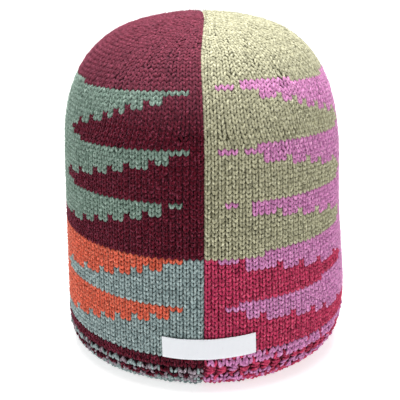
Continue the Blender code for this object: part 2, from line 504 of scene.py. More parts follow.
@dataclass
class HatForm:
    """The hat's outer surface, read by a place along its sections and a turn round it."""

    height: float
    half_width: float
    half_depth: float
    measuring_turn: float = math.radians(40)
    table: np.ndarray = field(default_factory=lambda: np.array(SECTIONS))
    places: np.ndarray = field(init=False)
    arcs: np.ndarray = field(init=False)

    MEASURED_PLACES = 1601
    STEP = 1e-3  # of a place or of a turn, between two points that give a slope
    POLE_STEPS = 20  # how far under the very top, in steps, the slope is still read

    def __post_init__(self) -> None:
        """Measures the length up the form, from the standing edge to the top."""
        self.places = np.linspace(0, len(SECTIONS) - 1, self.MEASURED_PLACES)
        line = self.point(self.places, np.full_like(self.places, self.measuring_turn))
        self.arcs = np.r_[0, np.cumsum(np.linalg.norm(np.diff(line, axis=0), axis=1))]

    def blend(self, place: np.ndarray) -> np.ndarray:
        """Reads the sections at places between them, on a smooth curve through all of them.

        Args:
            place: an array of places, where 0 is the standing edge.

        Returns:
            The four values of a section for each place, along a last axis.
        """
        last = len(self.table) - 1
        index = np.clip(place.astype(int), 0, last - 1)
        t = (place - index)[..., None]
        before, start = self.table[np.maximum(index - 1, 0)], self.table[index]
        end, after = self.table[index + 1], self.table[np.minimum(index + 2, last)]
        return (
            (2 * t**3 - 3 * t**2 + 1) * start
            + (t**3 - 2 * t**2 + t) * (end - before) / 2
            + (3 * t**2 - 2 * t**3) * end
            + (t**3 - t**2) * (after - start) / 2
        )

    def point(self, place: np.ndarray, turn: np.ndarray) -> np.ndarray:
        """Finds points of the outer surface.

        Args:
            place: places along the sections.
            turn: turns in radians from the front, of the same shape.

        Returns:
            The points, along a last axis of three.
        """
        height, width, seam, bias = np.moveaxis(self.blend(place), -1, 0)
        pushed = np.zeros_like(height)
        for dent in DENTS:
            away = (np.degrees(turn) - dent.turn + 180) % 360 - 180
            reach = (away / dent.turn_spread) ** 2 + ((height - dent.height) / dent.height_spread) ** 2
            pushed += dent.depth * self.half_width * np.exp(-reach / 2)
        pushed *= np.minimum(width, 1.0)
        across = self.half_width * width * (1 + np.sign(np.sin(turn)) * bias) - pushed
        deep = self.half_depth * width - pushed
        return np.stack(
            (seam * self.half_width + across * np.sin(turn), -deep * np.cos(turn), height * self.height),
            axis=-1,
        )

    def normal(self, place: np.ndarray, turn: np.ndarray) -> np.ndarray:
        """Finds the outer surface's normals, from points a small step away.

        Args:
            place: places along the sections.
            turn: turns in radians from the front, of the same shape.

        Returns:
            The normals, one unit long, along a last axis of three.
        """
        step = self.STEP
        place = np.clip(place, step, len(SECTIONS) - 1 - self.POLE_STEPS * step)
        up = self.point(place + step, turn) - self.point(place - step, turn)
        along = self.point(place, turn + step) - self.point(place, turn - step)
        out = np.cross(along, up)
        return out / np.linalg.norm(out, axis=-1, keepdims=True)

    def place_at_arc(self, arc: np.ndarray) -> np.ndarray:
        """Turns lengths up the form to places along the sections."""
        return np.interp(arc, self.arcs, self.places)

    def arc_at_height(self, height: float) -> float:
        """Turns a height over the floor to a length up the form."""
        heights = self.blend(self.places)[:, 0] * self.height
        return float(np.interp(height, heights, self.arcs))

    def ring_radius(self, arc: np.ndarray) -> np.ndarray:
        """The hat's radius at lengths up the form, which is also the metres in a radian of turn."""
        widths = self.blend(self.places)[:, 1] * (self.half_width + self.half_depth) / 2
        return np.interp(arc, self.arcs, widths)

    def laid(self, arc: np.ndarray, turn: np.ndarray, depth: np.ndarray) -> np.ndarray:
        """Lays points on the form.

        Args:
            arc: lengths up the form.
            turn: turns from the front.
            depth: how far each point lies under the outer surface.

        Returns:
            The points, along a last axis of three.
        """
        place = self.place_at_arc(arc)
        return self.point(place, turn) - self.normal(place, turn) * depth[..., None]


# The knitting's plan


@dataclass(frozen=True)
class Wedge:
    """A wedge of the second yarn, thin at the seam and deep at the side.

    Courses count up from the hem and wales count from the seam.
    """

    top: int  # its top course
    tip: tuple[int, int]  # the wales of its thin tip, in the top course
    starts: tuple[int, ...]  # the wale where the wedge starts in the top course and in each one below it
    crest: tuple[int, ...] = ()  # the wale where it starts in each course above the top one
    crest_end: int | None = None  # the wale where those courses end, or none where they reach the side

    def mark(self, chart: np.ndarray) -> None:
        """Marks the wedge on a chart.

        Args:
            chart: courses by wales, from the seam to the middle of the side.
        """
        first, last = self.tip
        chart[self.top, first:last] = True
        for down, start in enumerate(self.starts):
            chart[self.top - down, start:] = True
            if down > 1:
                tooth = slice(self.starts[down - 1], max(start - 1, self.starts[down - 1] + 1))
                chart[self.top - down, tooth] = True
        for up, start in enumerate(self.crest, start=1):
            chart[self.top + up, start:self.crest_end] = True


@dataclass(frozen=True)
class HalfChart:
    """Where the second yarn shows on one half: wedges that meet in a broad spine at the side."""

    wedges: tuple[Wedge, ...]
    spine: tuple[tuple[int, int, int], ...]  # lowest and highest course of each stretch, and its first wale
    closing: int = 3  # over how many wales the ground stripes close before the spine

    def marked(self, courses: int, wales: int) -> np.ndarray:
        """Draws the chart.

        Args:
            courses: how many courses the half has.
            wales: how many wales it has from the front seam to the back one.

        Returns:
            An array of courses by wales that is true where the second yarn shows. Row 0 isn't used.
        """
        chart = np.zeros((courses + 1, wales), bool)
        half = wales // 2
        for wedge in self.wedges:
            wedge.mark(chart[:, :half])
        for low, high, start in self.spine:
            for grown, wale in enumerate(range(start - self.closing, start), start=1):
                column = chart[:, wale].copy()
                for course in range(low, high + 1):
                    near = column[max(course - grown, 0):course + grown + 1]
                    chart[course, wale] = bool(near.any())
            chart[low:high + 1, start:half] = True
        chart[:, half:] = chart[:, :wales - half][:, ::-1]
        return chart


LEFT_CHART = HalfChart(
    wedges=(
        Wedge(top=58, tip=(2, 5), starts=(2, 6, 10, 13, 15, 17, 20, 23, 27), crest=(26,)),
        Wedge(top=46, tip=(2, 5), starts=(2, 5, 8, 12, 15, 18, 22, 26), crest=(22, 27)),
        Wedge(top=35, tip=(3, 5), starts=(6, 6, 9, 12, 15, 18, 21, 25), crest=(24,)),
        Wedge(top=23, tip=(3, 6), starts=(6, 6, 9, 11, 14, 17, 21, 26)),
        Wedge(top=12, tip=(3, 5), starts=(3, 5, 8, 11, 14, 17, 20, 24, 28)),
    ),
    spine=((28, 47, 30), (48, 59, 28), (4, 23, 30)),
)
RIGHT_CHART = HalfChart(
    wedges=(
        Wedge(top=59, tip=(2, 5), starts=(7, 10, 14, 17, 19, 22, 25, 28), crest=(7,), crest_end=17),
        Wedge(top=46, tip=(2, 5), starts=(6, 9, 14, 18, 21, 26), crest=(8,)),
        Wedge(top=35, tip=(3, 5), starts=(7, 7, 12, 16, 20, 24, 28)),
        Wedge(top=23, tip=(2, 5), starts=(6, 6, 12, 16, 20, 25), crest=(9,)),
        Wedge(top=12, tip=(3, 5), starts=(3, 6, 9, 14, 18, 21, 26), crest=(5, 20)),
    ),
    spine=((6, 47, 30), (48, 60, 32)),
)


@dataclass
class KnitPlan:
    """The hat's courses and wales: how high each course lies and where each stitch stands in it."""

    form: HatForm
    hem_height: float
    change_height: float
    wales: int = 66
    side_courses: int = 23
    crown_courses: int = 62
    narrowest_wale: float = 3.3 * MM
    widest_wale: float = 4.0 * MM
    ease: float = 0.3  # how much of its way to an even spacing a wale moves in a course
    most_decreases: int = 5
    fewest_wales: int = 3
    decrease_stagger: float = 0.618  # of the way between two decreases, from one course to the next
    joined_offset: float = 0.25  # of a wale, how far two stitches knitted together stand off its middle
    joined_width: float = 0.6  # how wide each of the two is, as a share of a stitch
    # Courses hang a little lower at the sides than at the seams: by course, and how far in courses.
    sag_courses: tuple[float, ...] = (0, 12, 23, 35, 46, 58, 70, 85)
    sags: tuple[float, ...] = (0, 0, 1.0, 3.0, 4.2, 4.8, 3.0, 0)
    left_droop: float = 0.72  # how early the left half's courses start to hang, where 1 is as on the right

    @property
    def courses(self) -> int:
        """How many courses there are above the hem."""
        return self.side_courses + self.crown_courses

    def arc(self, course: np.ndarray, turn: np.ndarray) -> np.ndarray:
        """Finds how far up the form a course runs.

        Args:
            course: course numbers, where 0 is the hem's top, and the parts between.
            turn: turns from the front, of the same shape.

        Returns:
            The lengths up the form.
        """
        hang = (1 - np.abs(np.cos(turn))) ** np.where(turn < 0, self.left_droop, 1.0)
        sag = np.interp(course, self.sag_courses, self.sags) * hang
        low = self.form.arc_at_height(self.hem_height)
        change = self.form.arc_at_height(self.change_height)
        top = self.form.arcs[-1]
        level = course - sag
        return np.interp(
            level, (-self.side_courses, 0, self.side_courses, self.courses),
            (2 * low - change, low, change, top),
        )

    def stitches(self) -> dict[str, np.ndarray]:
        """Sets out every stitch of a half.

        Wales run straight up the wall. Over the crown some are knitted together in each course, and the
        rest ease apart again, so that a stitch stays about as wide as it was.

        Returns:
            Arrays by name, one entry for each stitch: its course, and the turn and the half width in
            radians of its base and of its top. Turns are all positive.
        """
        keys = ("course", "base", "top", "base_half", "top_half")
        found: dict[str, list[np.ndarray]] = {key: [] for key in keys}
        edges = np.linspace(0, math.pi, self.wales + 1)
        middle = np.full(1, math.pi / 4)
        for course in range(self.courses):
            count = len(edges) - 1
            ring = self.form.ring_radius(self.arc(np.full(1, course + 1.0), middle))[0]
            share = min(ring / self.form.half_width, 1.0)
            width = self.narrowest_wale + (self.widest_wale - self.narrowest_wale) * share
            spare = min(count - max(round(math.pi * ring / width), self.fewest_wales), self.most_decreases)
            keep = np.ones(count + 1, bool)
            if spare > 0:
                phase = (course * self.decrease_stagger) % 1
                spots = ((np.arange(spare) + phase) * count / spare).astype(int) + 1
                keep[spots[spots < count]] = False
            above = edges[keep]
            above = above + (np.linspace(0, math.pi, len(above)) - above) * self.ease
            owner = np.cumsum(keep[:-1]) - 1
            shared = np.bincount(owner, minlength=len(above) - 1)[owner] > 1
            later = np.r_[False, owner[1:] == owner[:-1]]
            rank = np.where(shared, np.where(later, self.joined_offset, -self.joined_offset), 0.0)
            top_width = np.diff(above)[owner]
            found["course"].append(np.full(count, course))
            found["base"].append((edges[:-1] + edges[1:]) / 2)
            found["base_half"].append(np.diff(edges) / 2)
            found["top"].append((above[:-1] + above[1:])[owner] / 2 + rank * top_width)
            found["top_half"].append(top_width / 2 * np.where(shared, self.joined_width, 1.0))
            edges = above
        return {key: np.concatenate(values) for key, values in found.items()}


# Strands of yarn


@dataclass
class CopiedShape:
    """A small shape that is modelled once and copied many times, each copy as a mesh of its own."""

    points: np.ndarray = field(init=False)
    loops: np.ndarray = field(init=False)
    loop_totals: np.ndarray = field(init=False)
    uvs: np.ndarray = field(init=False)

    def keep(self, piece: bpy.types.Object) -> None:
        """Keeps a modelled piece's mesh as arrays and takes the piece away.

        Args:
            piece: the piece that was modelled.
        """
        mesh = piece.data
        self.points = corners(piece)
        self.loops = np.array([loop.vertex_index for loop in mesh.loops])
        self.loop_totals = np.array([len(face.vertices) for face in mesh.polygons])
        self.uvs = np.array([entry.uv for entry in mesh.uv_layers.active.data])
        bpy.data.objects.remove(piece)


@dataclass
class FibreShape(CopiedShape):
    """One loose fibre: a thin spike, one unit long and one unit in radius at its root."""

    def __post_init__(self) -> None:
        """Models the fibre once."""
        deselect_all()
        bpy.ops.mesh.primitive_cone_add(vertices=3, radius1=1.0, radius2=0.0, depth=1.0)
        fibre = bpy.context.object
        with edit_mode():
            bpy.ops.transform.translate(value=(0.0, 0.0, 0.5))
        self.keep(fibre)


@dataclass
class StrandShape(CopiedShape):
    """One stroke of yarn as it shows on the face of the knitting: plump, and thin where it dives in."""

    sides: int = 6
    rings: int = 4
    shoulder: float = 1.2  # how much wider the rings near its ends are made

    SHOULDER_RINGS = (0.2, 0.45)  # how far off its middle they lie at least and at most, of its length

    def __post_init__(self) -> None:
        """Models the stroke once, and keeps its mesh as arrays for copying."""
        deselect_all()
        bpy.ops.mesh.primitive_uv_sphere_add(segments=self.sides, ring_count=self.rings, radius=1.0)
        stroke = bpy.context.object
        with edit_mode():
            bpy.ops.transform.resize(value=(1.0, 1.0, 0.5))
            bpy.ops.transform.translate(value=(0.0, 0.0, 0.5))
        nearest, farthest = self.SHOULDER_RINGS
        for vertex in stroke.data.vertices:
            vertex.select = nearest < abs(vertex.co.z - 0.5) < farthest
        bpy.ops.object.mode_set(mode="EDIT")
        bpy.ops.transform.resize(value=(self.shoulder, self.shoulder, 1.0), center_override=(0.0, 0.0, 0.5))
        bpy.ops.object.mode_set(mode="OBJECT")
        self.keep(stroke)


@dataclass
class Strands:
    """A set of strokes to lay: where each starts and ends on the form, and how thick it is."""

    turn: np.ndarray  # start and end of each, in radians
    arc: np.ndarray  # start and end of each, up the form
    depth: np.ndarray  # of its middle line at the start and the end, under the outer surface
    thick: np.ndarray  # half of its width
    shade: np.ndarray  # each stroke's own tone, drawn at random, from 0, the yarn's painted shade colour, to 1
    arch: np.ndarray  # how much the middle of each stands over its ends
    flat: float = 0.85  # its half depth, as a share of its half width

    SEAM_ROLL = 0.9 * MM
    SEAM_REACH = 1.7 * MM
    END_SHADE = 0.10  # painted shade of a stroke's end, where it dives under the next one
    # Painted shade: a stroke darkens from this share of its length to its end, fully where that end dives
    # FULL_DROP deeper; its flanks darken to FLANK_SHADE.
    DIVE = 0.55
    FULL_DROP = 0.6 * MM
    FLANK_SHADE = 0.50
    LEAST_RADIUS = 2 * MM  # of the ring that a stroke is measured on, near the very top
    FIBRE_PLACES = (0.1, 0.7)  # along a stroke
    FIBRE_LEANS = (0.1, 1.3)  # radians off the surface's normal
    FIBRE_ROOT = 0.3  # of half a stroke's width, how far over its middle line a fibre starts
    FIBRE_LENGTHS = (1.6 * MM, 3.2 * MM)
    FIBRE_RADIUS = 0.08 * MM  # a real one is about 0.015 mm
    PER_STROKE = ("turn", "arc", "depth", "thick", "shade", "arch")

    def picked(self, which: np.ndarray) -> "Strands":
        """The strokes that a mask picks."""
        return replace(self, **{key: getattr(self, key)[which] for key in self.PER_STROKE})

    def mesh(self, name: str, form: HatForm, shape: StrandShape) -> bpy.types.Object:
        """Copies the stroke along every place, lays it on the form and paints shade on its flanks and diving
        end.

        Args:
            name: the name of the new piece.
            form: the hat's outer form.
            shape: the stroke to copy.

        Returns:
            A mesh piece with the UV map "strand" and the attribute "shade".
        """
        across, out, along = shape.points[:, 0], -shape.points[:, 1], shape.points[:, 2]
        start, end = self.turn[:, :1], self.turn[:, 1:]
        low, high = self.arc[:, :1], self.arc[:, 1:]
        thick = self.thick[:, None]
        metres = np.maximum(form.ring_radius((low + high) / 2), self.LEAST_RADIUS)
        run, rise = (end - start) * metres, high - low
        length = np.hypot(run, rise)
        turn = start + (end - start) * along + across * thick * (rise / length) / metres
        arc = low + rise * along - across * thick * (run / length)
        bow = 4 * along * (1 - along)
        diving = np.clip((along - self.DIVE) / (1 - self.DIVE), 0, 1)
        depth = self.depth[:, :1] + (self.depth[:, 1:] - self.depth[:, :1]) * along - self.arch[:, None] * bow
        off_seam = metres * np.minimum(np.abs(turn), math.pi - np.abs(turn))
        depth = depth + self.SEAM_ROLL * np.exp(-((off_seam / self.SEAM_REACH) ** 2))
        points = form.laid(arc, turn, depth - out * thick * self.flat)
        # Painted shade on each stroke's flanks and on its end where it dives.
        painted_flank_shade = self.FLANK_SHADE + (1 - self.FLANK_SHADE) * np.clip(out, 0, 1)
        drop = np.clip((self.depth[:, 1:] - self.depth[:, :1]) / self.FULL_DROP, 0, 1)
        shade = self.shade[:, None] * (1 - (1 - self.END_SHADE) * diving * drop) * painted_flank_shade
        return self.build(name, points, shade, shape)

    def fibres(self, name: str, form: HatForm, fibre: FibreShape, seed: int) -> bpy.types.Object:
        """Sets one loose fibre on every stroke, drawn thicker than a real one so that it shows.

        Args:
            name: the name of the new piece.
            form: the hat's outer form.
            fibre: the fibre to copy.
            seed: where the fibres' unevenness comes from.

        Returns:
            A mesh piece with the UV map "strand" and the attribute "shade".
        """
        random = np.random.default_rng(seed)
        count = len(self.thick)
        along = random.uniform(*self.FIBRE_PLACES, count)
        turn = self.turn[:, 0] + (self.turn[:, 1] - self.turn[:, 0]) * along
        arc = self.arc[:, 0] + (self.arc[:, 1] - self.arc[:, 0]) * along
        root = form.laid(arc, turn, self.depth[:, 0] - self.thick * self.FIBRE_ROOT)
        out = form.normal(form.place_at_arc(arc), turn)
        around = np.stack((np.cos(turn), np.sin(turn), np.zeros(count)), axis=-1)
        up = np.cross(out, around)
        heading = random.uniform(0, 2 * math.pi, count)
        lean = random.uniform(*self.FIBRE_LEANS, count)
        level = around * np.cos(heading)[:, None] + up * np.sin(heading)[:, None]
        axis = out * np.cos(lean)[:, None] + level * np.sin(lean)[:, None]
        first = np.cross(axis, up)
        first /= np.linalg.norm(first, axis=-1, keepdims=True)
        second = np.cross(axis, first)
        length = random.uniform(*self.FIBRE_LENGTHS, count)
        x, y, z = (fibre.points[:, index][None, :, None] for index in range(3))
        points = root[:, None] + (first[:, None] * x + second[:, None] * y) * self.FIBRE_RADIUS
        points = points + axis[:, None] * z * length[:, None, None]
        return self.build(name, points, np.ones(points.shape[:2]), fibre)

    @staticmethod
    def build(name: str, points: np.ndarray, shade: np.ndarray, shape: CopiedShape) -> bpy.types.Object:
        """Makes one mesh of all the copies.

        Args:
            name: the name of the new piece.
            points: the corners of each copy.
            shade: the shade of each corner.
            shape: what was copied.

        Returns:
            The new mesh piece.
        """
        copies, each = points.shape[:2]
        loops = (shape.loops[None, :] + each * np.arange(copies)[:, None]).ravel()
        totals = np.tile(shape.loop_totals, copies)
        data = bpy.data.meshes.new(name)
        data.vertices.add(copies * each)
        points[..., 2] = np.maximum(points[..., 2], FLOOR_CLEARANCE)
        data.vertices.foreach_set("co", points.ravel())
        data.loops.add(len(loops))
        data.loops.foreach_set("vertex_index", loops)
        data.polygons.add(len(totals))
        data.polygons.foreach_set("loop_start", np.r_[0, np.cumsum(totals)[:-1]])
        data.polygons.foreach_set("loop_total", totals)
        data.uv_layers.new(name="strand").data.foreach_set("uv", np.tile(shape.uvs.ravel(), copies))
        data.attributes.new("shade", "FLOAT", "POINT").data.foreach_set("value", np.clip(shade, 0, 1).ravel())
        data.update(calc_edges=True)
        data.shade_smooth()
        piece = bpy.data.objects.new(name, data)
        bpy.context.scene.collection.objects.link(piece)
        return piece


# Panels and hems of the hat, and its label


@dataclass
class Backing:
    """The knitting's own thickness behind its face: a thin closed wall that follows courses and wales."""

    # Painted shade: the wall takes its yarn's shade colour all over, as the shade between the strokes.
    plan: KnitPlan
    face_depth: float = 1.95 * MM
    back_depth: float = 3.4 * MM

    def made(self, name: str, side: Side, low: int, kept: np.ndarray) -> bpy.types.Object:
        """Makes the wall behind one yarn of a panel.

        Args:
            name: the name of the new piece.
            side: the half that it belongs to.
            low: the panel's lowest course line.
            kept: which cells of the panel it covers, as courses by wales.

        Returns:
            A closed mesh piece with the UV map "strand" and the attribute "shade".
        """
        wall = flat_wall(name, self.plan.wales, len(kept), kept)
        flat = corners(wall)
        turn = side.value * flat[:, 0] * math.pi / self.plan.wales
        arc = self.plan.arc(low + flat[:, 1], turn)
        depth = np.where(flat[:, 2] < -0.5, self.back_depth, self.face_depth)
        lay_wall(wall, self.plan.form.laid(arc, turn, depth))
        return wall


@dataclass
class Panel:
    """One knitted panel: stocking stitch in a ground yarn, with the wedges in a second yarn."""

    node: str
    side: Side
    ground: WoolFinish
    second: WoolFinish
    plan: KnitPlan
    chart: np.ndarray
    low: int
    high: int
    seed: int
    leg_half_width: float = 0.76 * MM
    base_depth: float = 1.10 * MM
    base_spread: float = 0.065  # of a wale, how far a leg's foot stands off the stitch's middle
    top_spread: float = 0.435
    arch: float = 0.50 * MM
    dive: float = 0.70 * MM  # how much deeper a leg's head lies than its foot
    eased_from: int = 44  # the courses over which the stitches ease to lie flatter, as at the crown
    eased_to: int = 64
    easing: float = 0.75
    foot_drop: float = 0.30  # of a course, how far a leg starts under its own course
    head_rise: float = 0.24
    first_course: int = 0  # the first course that this panel's own yarns work

    # How uneven hand knitting is: in place, as a share of a stitch, in thickness and in depth.
    PLACE_SLACK = 0.06
    THICK_SLACK = 0.05
    DEPTH_SLACK = 0.11 * MM
    SHADES = (0.84, 0.15)  # the middle one and the spread
    SHADE_LIMITS = (0.3, 1.1)

    def legs(self) -> tuple[Strands, np.ndarray]:
        """Sets out the two legs of every stitch.

        Returns:
            The legs, and for each whether it is worked in the second yarn.
        """
        stitches = self.plan.stitches()
        inside = (stitches["course"] >= max(self.low, self.first_course)) & (stitches["course"] < self.high)
        s = {key: values[inside] for key, values in stitches.items()}
        wale = np.clip((s["base"] / math.pi * self.plan.wales).astype(int), 0, self.plan.wales - 1)
        second = self.chart[s["course"] + 1, wale]
        random = np.random.default_rng(self.seed)
        turns, arcs = [], []
        for lean in (-1, 1):
            foot = s["base"] + lean * self.base_spread * 2 * s["base_half"]
            head = s["top"] + lean * self.top_spread * 2 * s["top_half"]
            slack = random.normal(0, self.PLACE_SLACK, (2, len(foot)))
            foot = foot + slack[0] * s["base_half"]
            head = head + slack[1] * s["top_half"]
            turn = self.side.value * np.stack((foot, head), axis=-1)
            low = s["course"] - self.foot_drop + random.normal(0, self.PLACE_SLACK, len(foot))
            high = s["course"] + 1 + self.head_rise + random.normal(0, self.PLACE_SLACK, len(foot))
            turns.append(turn)
            arcs.append(np.stack((self.plan.arc(low, turn[:, 0]), self.plan.arc(high, turn[:, 1])), axis=-1))
        turn, arc = np.concatenate(turns), np.concatenate(arcs)
        count = len(turn)
        radius = self.plan.form.ring_radius(arc.mean(axis=1))
        room = np.tile(s["base_half"] + s["top_half"], 2) * radius / 4
        thick = np.minimum(self.leg_half_width, room) * random.normal(1, self.THICK_SLACK, count)
        eased = 1 - self.easing * np.interp(np.tile(s["course"], 2), (self.eased_from, self.eased_to), (0, 1))
        foot_dive, head_dive = self.dive * (1 - eased) / 2, self.dive * (1 + eased) / 2
        depth = self.base_depth + np.stack((foot_dive, head_dive), axis=-1)
        depth += random.normal(0, self.DEPTH_SLACK, (count, 1))
        shade = np.clip(random.normal(*self.SHADES, count), *self.SHADE_LIMITS)
        return Strands(turn, arc, depth, thick, shade, self.arch * eased), np.tile(second, 2)

    def build(self, shape: StrandShape, fibre: FibreShape) -> list[bpy.types.Object]:
        """Knits the panel.

        Args:
            shape: the stroke that its stitches are made of.
            fibre: the loose fibre that stands off them.

        Returns:
            Its pieces, the ground first.
        """
        strands, second = self.legs()
        cells = self.chart[self.low + 1:self.high + 1]
        pieces = []
        for yarn, worked, part in ((self.ground, ~second, "ground"), (self.second, second, "wedges")):
            name = f"{self.node}_{part}"
            covered = cells if part == "wedges" else ~cells
            wall = Backing(self.plan).made(name + "_wall", self.side, self.low, covered)
            picked = strands.picked(worked)
            face = picked.mesh(name + "_face", self.plan.form, shape)
            fuzz = picked.fibres(name + "_fuzz", self.plan.form, fibre, self.seed)
            piece = join_pieces([wall, face, fuzz], name)
            dress(piece, yarn, self.node)
            pieces.append(piece)
        return pieces


def dress(piece: bpy.types.Object, finish: WoolFinish | TapeFinish, node: str) -> None:
    """Gives a piece its finish and says what it rides on and stands for.

    Args:
        piece: the finished piece.
        finish: what it is made of.
        node: the CAD node that it stands for.
    """
    piece.data.materials.clear()
    piece.data.materials.append(bpy.data.materials.get(finish.material_name) or finish.material())
    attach(piece, "root")
    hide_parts(node)


class Stroke(Enum):
    """How the yarn lies in a band of the hem: the strokes of one stitch.

    Each stroke runs from one place to another, given as wales off the stitch's middle, as a share of its
    pitch, and as a share of the band's height.
    """

    CHEVRON = ((-0.10, 0.0, -0.42, 1.0), (0.10, 0.0, 0.42, 1.0))
    SPRAY = ((0.0, 0.0, 0.0, 1.0), (-0.44, 0.05, -0.13, 0.80), (0.44, 0.05, 0.13, 0.80))
    FAN = ((0.46, 0.45, -0.44, 0.0), (0.48, 0.60, -0.46, 0.50), (0.46, 0.75, -0.42, 1.0))
    ARCH = ((-0.46, 0.10, -0.04, 0.90), (0.46, 0.10, 0.04, 0.90))
    LUMP = ((-0.55, 0.40, 0.55, 0.60),)


class HemBand(NamedTuple):
    """One band of the hem, measured in mm up the form from the standing edge."""

    low: float
    high: float
    stroke: Stroke
    pitch: float  # wales from one stitch to the next
    thick: float  # mm, half the width of a stroke
    yarns: tuple[WoolFinish, ...]  # picked among by chance, stroke by stroke


LEFT_HEM = (
    HemBand(24.2, 28.6, Stroke.CHEVRON, 1.0, 0.76, (BURGUNDY,)),
    HemBand(21.2, 25.6, Stroke.CHEVRON, 1.0, 0.78, (BURGUNDY,)),
    HemBand(16.4, 21.8, Stroke.SPRAY, 1.5, 0.86, (GREY, LILAC, GREY, LILAC, GREY, BURGUNDY)),
    HemBand(13.0, 17.2, Stroke.ARCH, 1.5, 0.84, (BURGUNDY, BURGUNDY, LILAC)),
    HemBand(9.4, 13.6, Stroke.CHEVRON, 1.0, 0.90, (GREY, BURGUNDY, LILAC)),
    HemBand(5.0, 10.0, Stroke.CHEVRON, 1.0, 0.92, (GREY, GREY, GREY, LILAC)),
    HemBand(1.4, 5.6, Stroke.LUMP, 0.8, 1.05, (GREY,)),
)
RIGHT_HEM = (
    HemBand(26.4, 31.2, Stroke.CHEVRON, 1.0, 0.86, (PINK, PINK, PINK, PINK, CRIMSON)),
    HemBand(22.0, 27.6, Stroke.CHEVRON, 1.0, 0.92, (PINK, PINK, PINK, PINK, PINK, PINK, CRIMSON)),
    HemBand(17.0, 22.8, Stroke.FAN, 1.7, 0.92, (CRIMSON, CRIMSON, CRIMSON, PINK)),
    HemBand(13.4, 17.8, Stroke.ARCH, 1.5, 0.84, (PINK, PINK, CRIMSON)),
    HemBand(9.6, 14.0, Stroke.CHEVRON, 1.0, 0.92, (CRIMSON, PINK)),
    HemBand(5.0, 10.2, Stroke.CHEVRON, 1.0, 0.92, (CRIMSON, CRIMSON, PINK)),
    HemBand(1.4, 5.6, Stroke.LUMP, 0.8, 1.05, (CRIMSON, CRIMSON, CRIMSON, PINK)),
)


@dataclass
class Hem:
    """The thick hem of one half, worked in bands of two or three yarns and curled under."""

    node: str
    side: Side
    slot: str
    bands: tuple[HemBand, ...]
    behind: WoolFinish  # the yarn that is carried behind the others, whose wall is in its painted shade colour
    plan: KnitPlan
    seed: int
    base_depth: float = 1.40 * MM
    top_depth: float = 1.65 * MM
    arch: float = 0.75 * MM
    wall_rows: int = 8
    face_depth: float = 2.1 * MM
    back_depth: float = 4.4 * MM
    ring_width: float = 5.5 * MM

    # How uneven the strokes are: in place along a wale and up the form, in depth and in thickness.
    TURN_SLACK = 0.07
    ARC_SLACK = 0.25 * MM
    DEPTH_SLACK = 0.22 * MM
    THICK_SLACK = 0.10
    SHADES = (0.82, 0.16)  # the middle one and the spread
    SHADE_LIMITS = (0.3, 1.0)
    WALL_CLEARANCE = 0.2 * MM  # of the wall over the surface that the hat stands on

    def strokes(self, band: HemBand, random: np.random.Generator) -> tuple[Strands, np.ndarray]:
        """Sets out the strokes of one band.

        Args:
            band: the band.
            random: where its small unevenness comes from.

        Returns:
            The strokes, and the number of the yarn that each is worked in.
        """
        count = round(self.plan.wales / band.pitch)
        pitch = math.pi / count
        middle = (np.arange(count) + 0.5) * pitch
        turns, arcs = [], []
        for start, low, end, high in band.stroke.value:
            turns.append(np.stack((middle + start * pitch, middle + end * pitch), axis=-1))
            arcs.append(np.tile((low, high), (count, 1)) * (band.high - band.low) + band.low)
        turn, arc = np.concatenate(turns), np.concatenate(arcs) * MM
        number = len(turn)
        slack = math.pi / self.plan.wales * self.TURN_SLACK
        turn = np.clip(turn + random.normal(0, slack, turn.shape), 0, math.pi) * self.side.value
        arc += random.normal(0, self.ARC_SLACK, arc.shape)
        depth = np.tile((self.base_depth, self.top_depth), (number, 1))
        depth += random.normal(0, self.DEPTH_SLACK, (number, 1))
        thick = band.thick * MM * random.normal(1, self.THICK_SLACK, number)
        shade = np.clip(random.normal(*self.SHADES, number), *self.SHADE_LIMITS)
        yarn = random.integers(len(band.yarns), size=number)
        return Strands(turn, arc, depth, thick, shade, np.full(number, self.arch)), yarn

    def wall(self) -> bpy.types.Object:
        """Makes the closed wall behind the strokes, with the flat ring that the hat stands on.

        Returns:
            A closed mesh piece with the UV map "strand" and the attribute "shade".
        """
        wall = flat_wall(self.node + "_wall", self.plan.wales, self.wall_rows)
        flat = corners(wall)
        turn = self.side.value * flat[:, 0] * math.pi / self.plan.wales
        up = flat[:, 1] / self.wall_rows
        arc = up * self.plan.form.arc_at_height(self.plan.hem_height)
        inner = flat[:, 2] < -0.5
        points = self.plan.form.laid(arc, turn, np.where(inner, self.back_depth, self.face_depth))
        edge = self.plan.form.laid(arc, turn, np.full(len(arc), self.face_depth))
        inward = np.stack((-np.sin(turn), np.cos(turn), np.zeros(len(turn))), axis=-1)
        foot = inner & (up < 1e-6)
        points[foot] = (edge + inward * self.ring_width)[foot]
        points[:, 2] = np.maximum(points[:, 2], self.WALL_CLEARANCE)
        lay_wall(wall, points)
        return wall

    def build(self, shape: StrandShape, fibre: FibreShape) -> list[bpy.types.Object]:
        """Works the hem.

        Args:
            shape: the stroke that its stitches are made of.
            fibre: the loose fibre that stands off them.

        Returns:
            One piece for each yarn.
        """
        random = np.random.default_rng(self.seed)
        worked: dict[WoolFinish, list[bpy.types.Object]] = {self.behind: [self.wall()]}
        for number, band in enumerate(self.bands):
            strands, yarn = self.strokes(band, random)
            for finish in dict.fromkeys(band.yarns):
                mine = np.array([band.yarns[index] is finish for index in yarn])
                picked = strands.picked(mine)
                face = picked.mesh(f"band_{number}", self.plan.form, shape)
                fuzz = picked.fibres(f"fuzz_{number}", self.plan.form, fibre, self.seed + number)
                worked.setdefault(finish, []).extend((face, fuzz))
        pieces = []
        for finish, faces in worked.items():
            piece = join_pieces(faces, f"{self.node}_{finish.name.removesuffix('_wool')}")
            dress(piece, finish, self.node)
            pieces.append(piece)
        return pieces


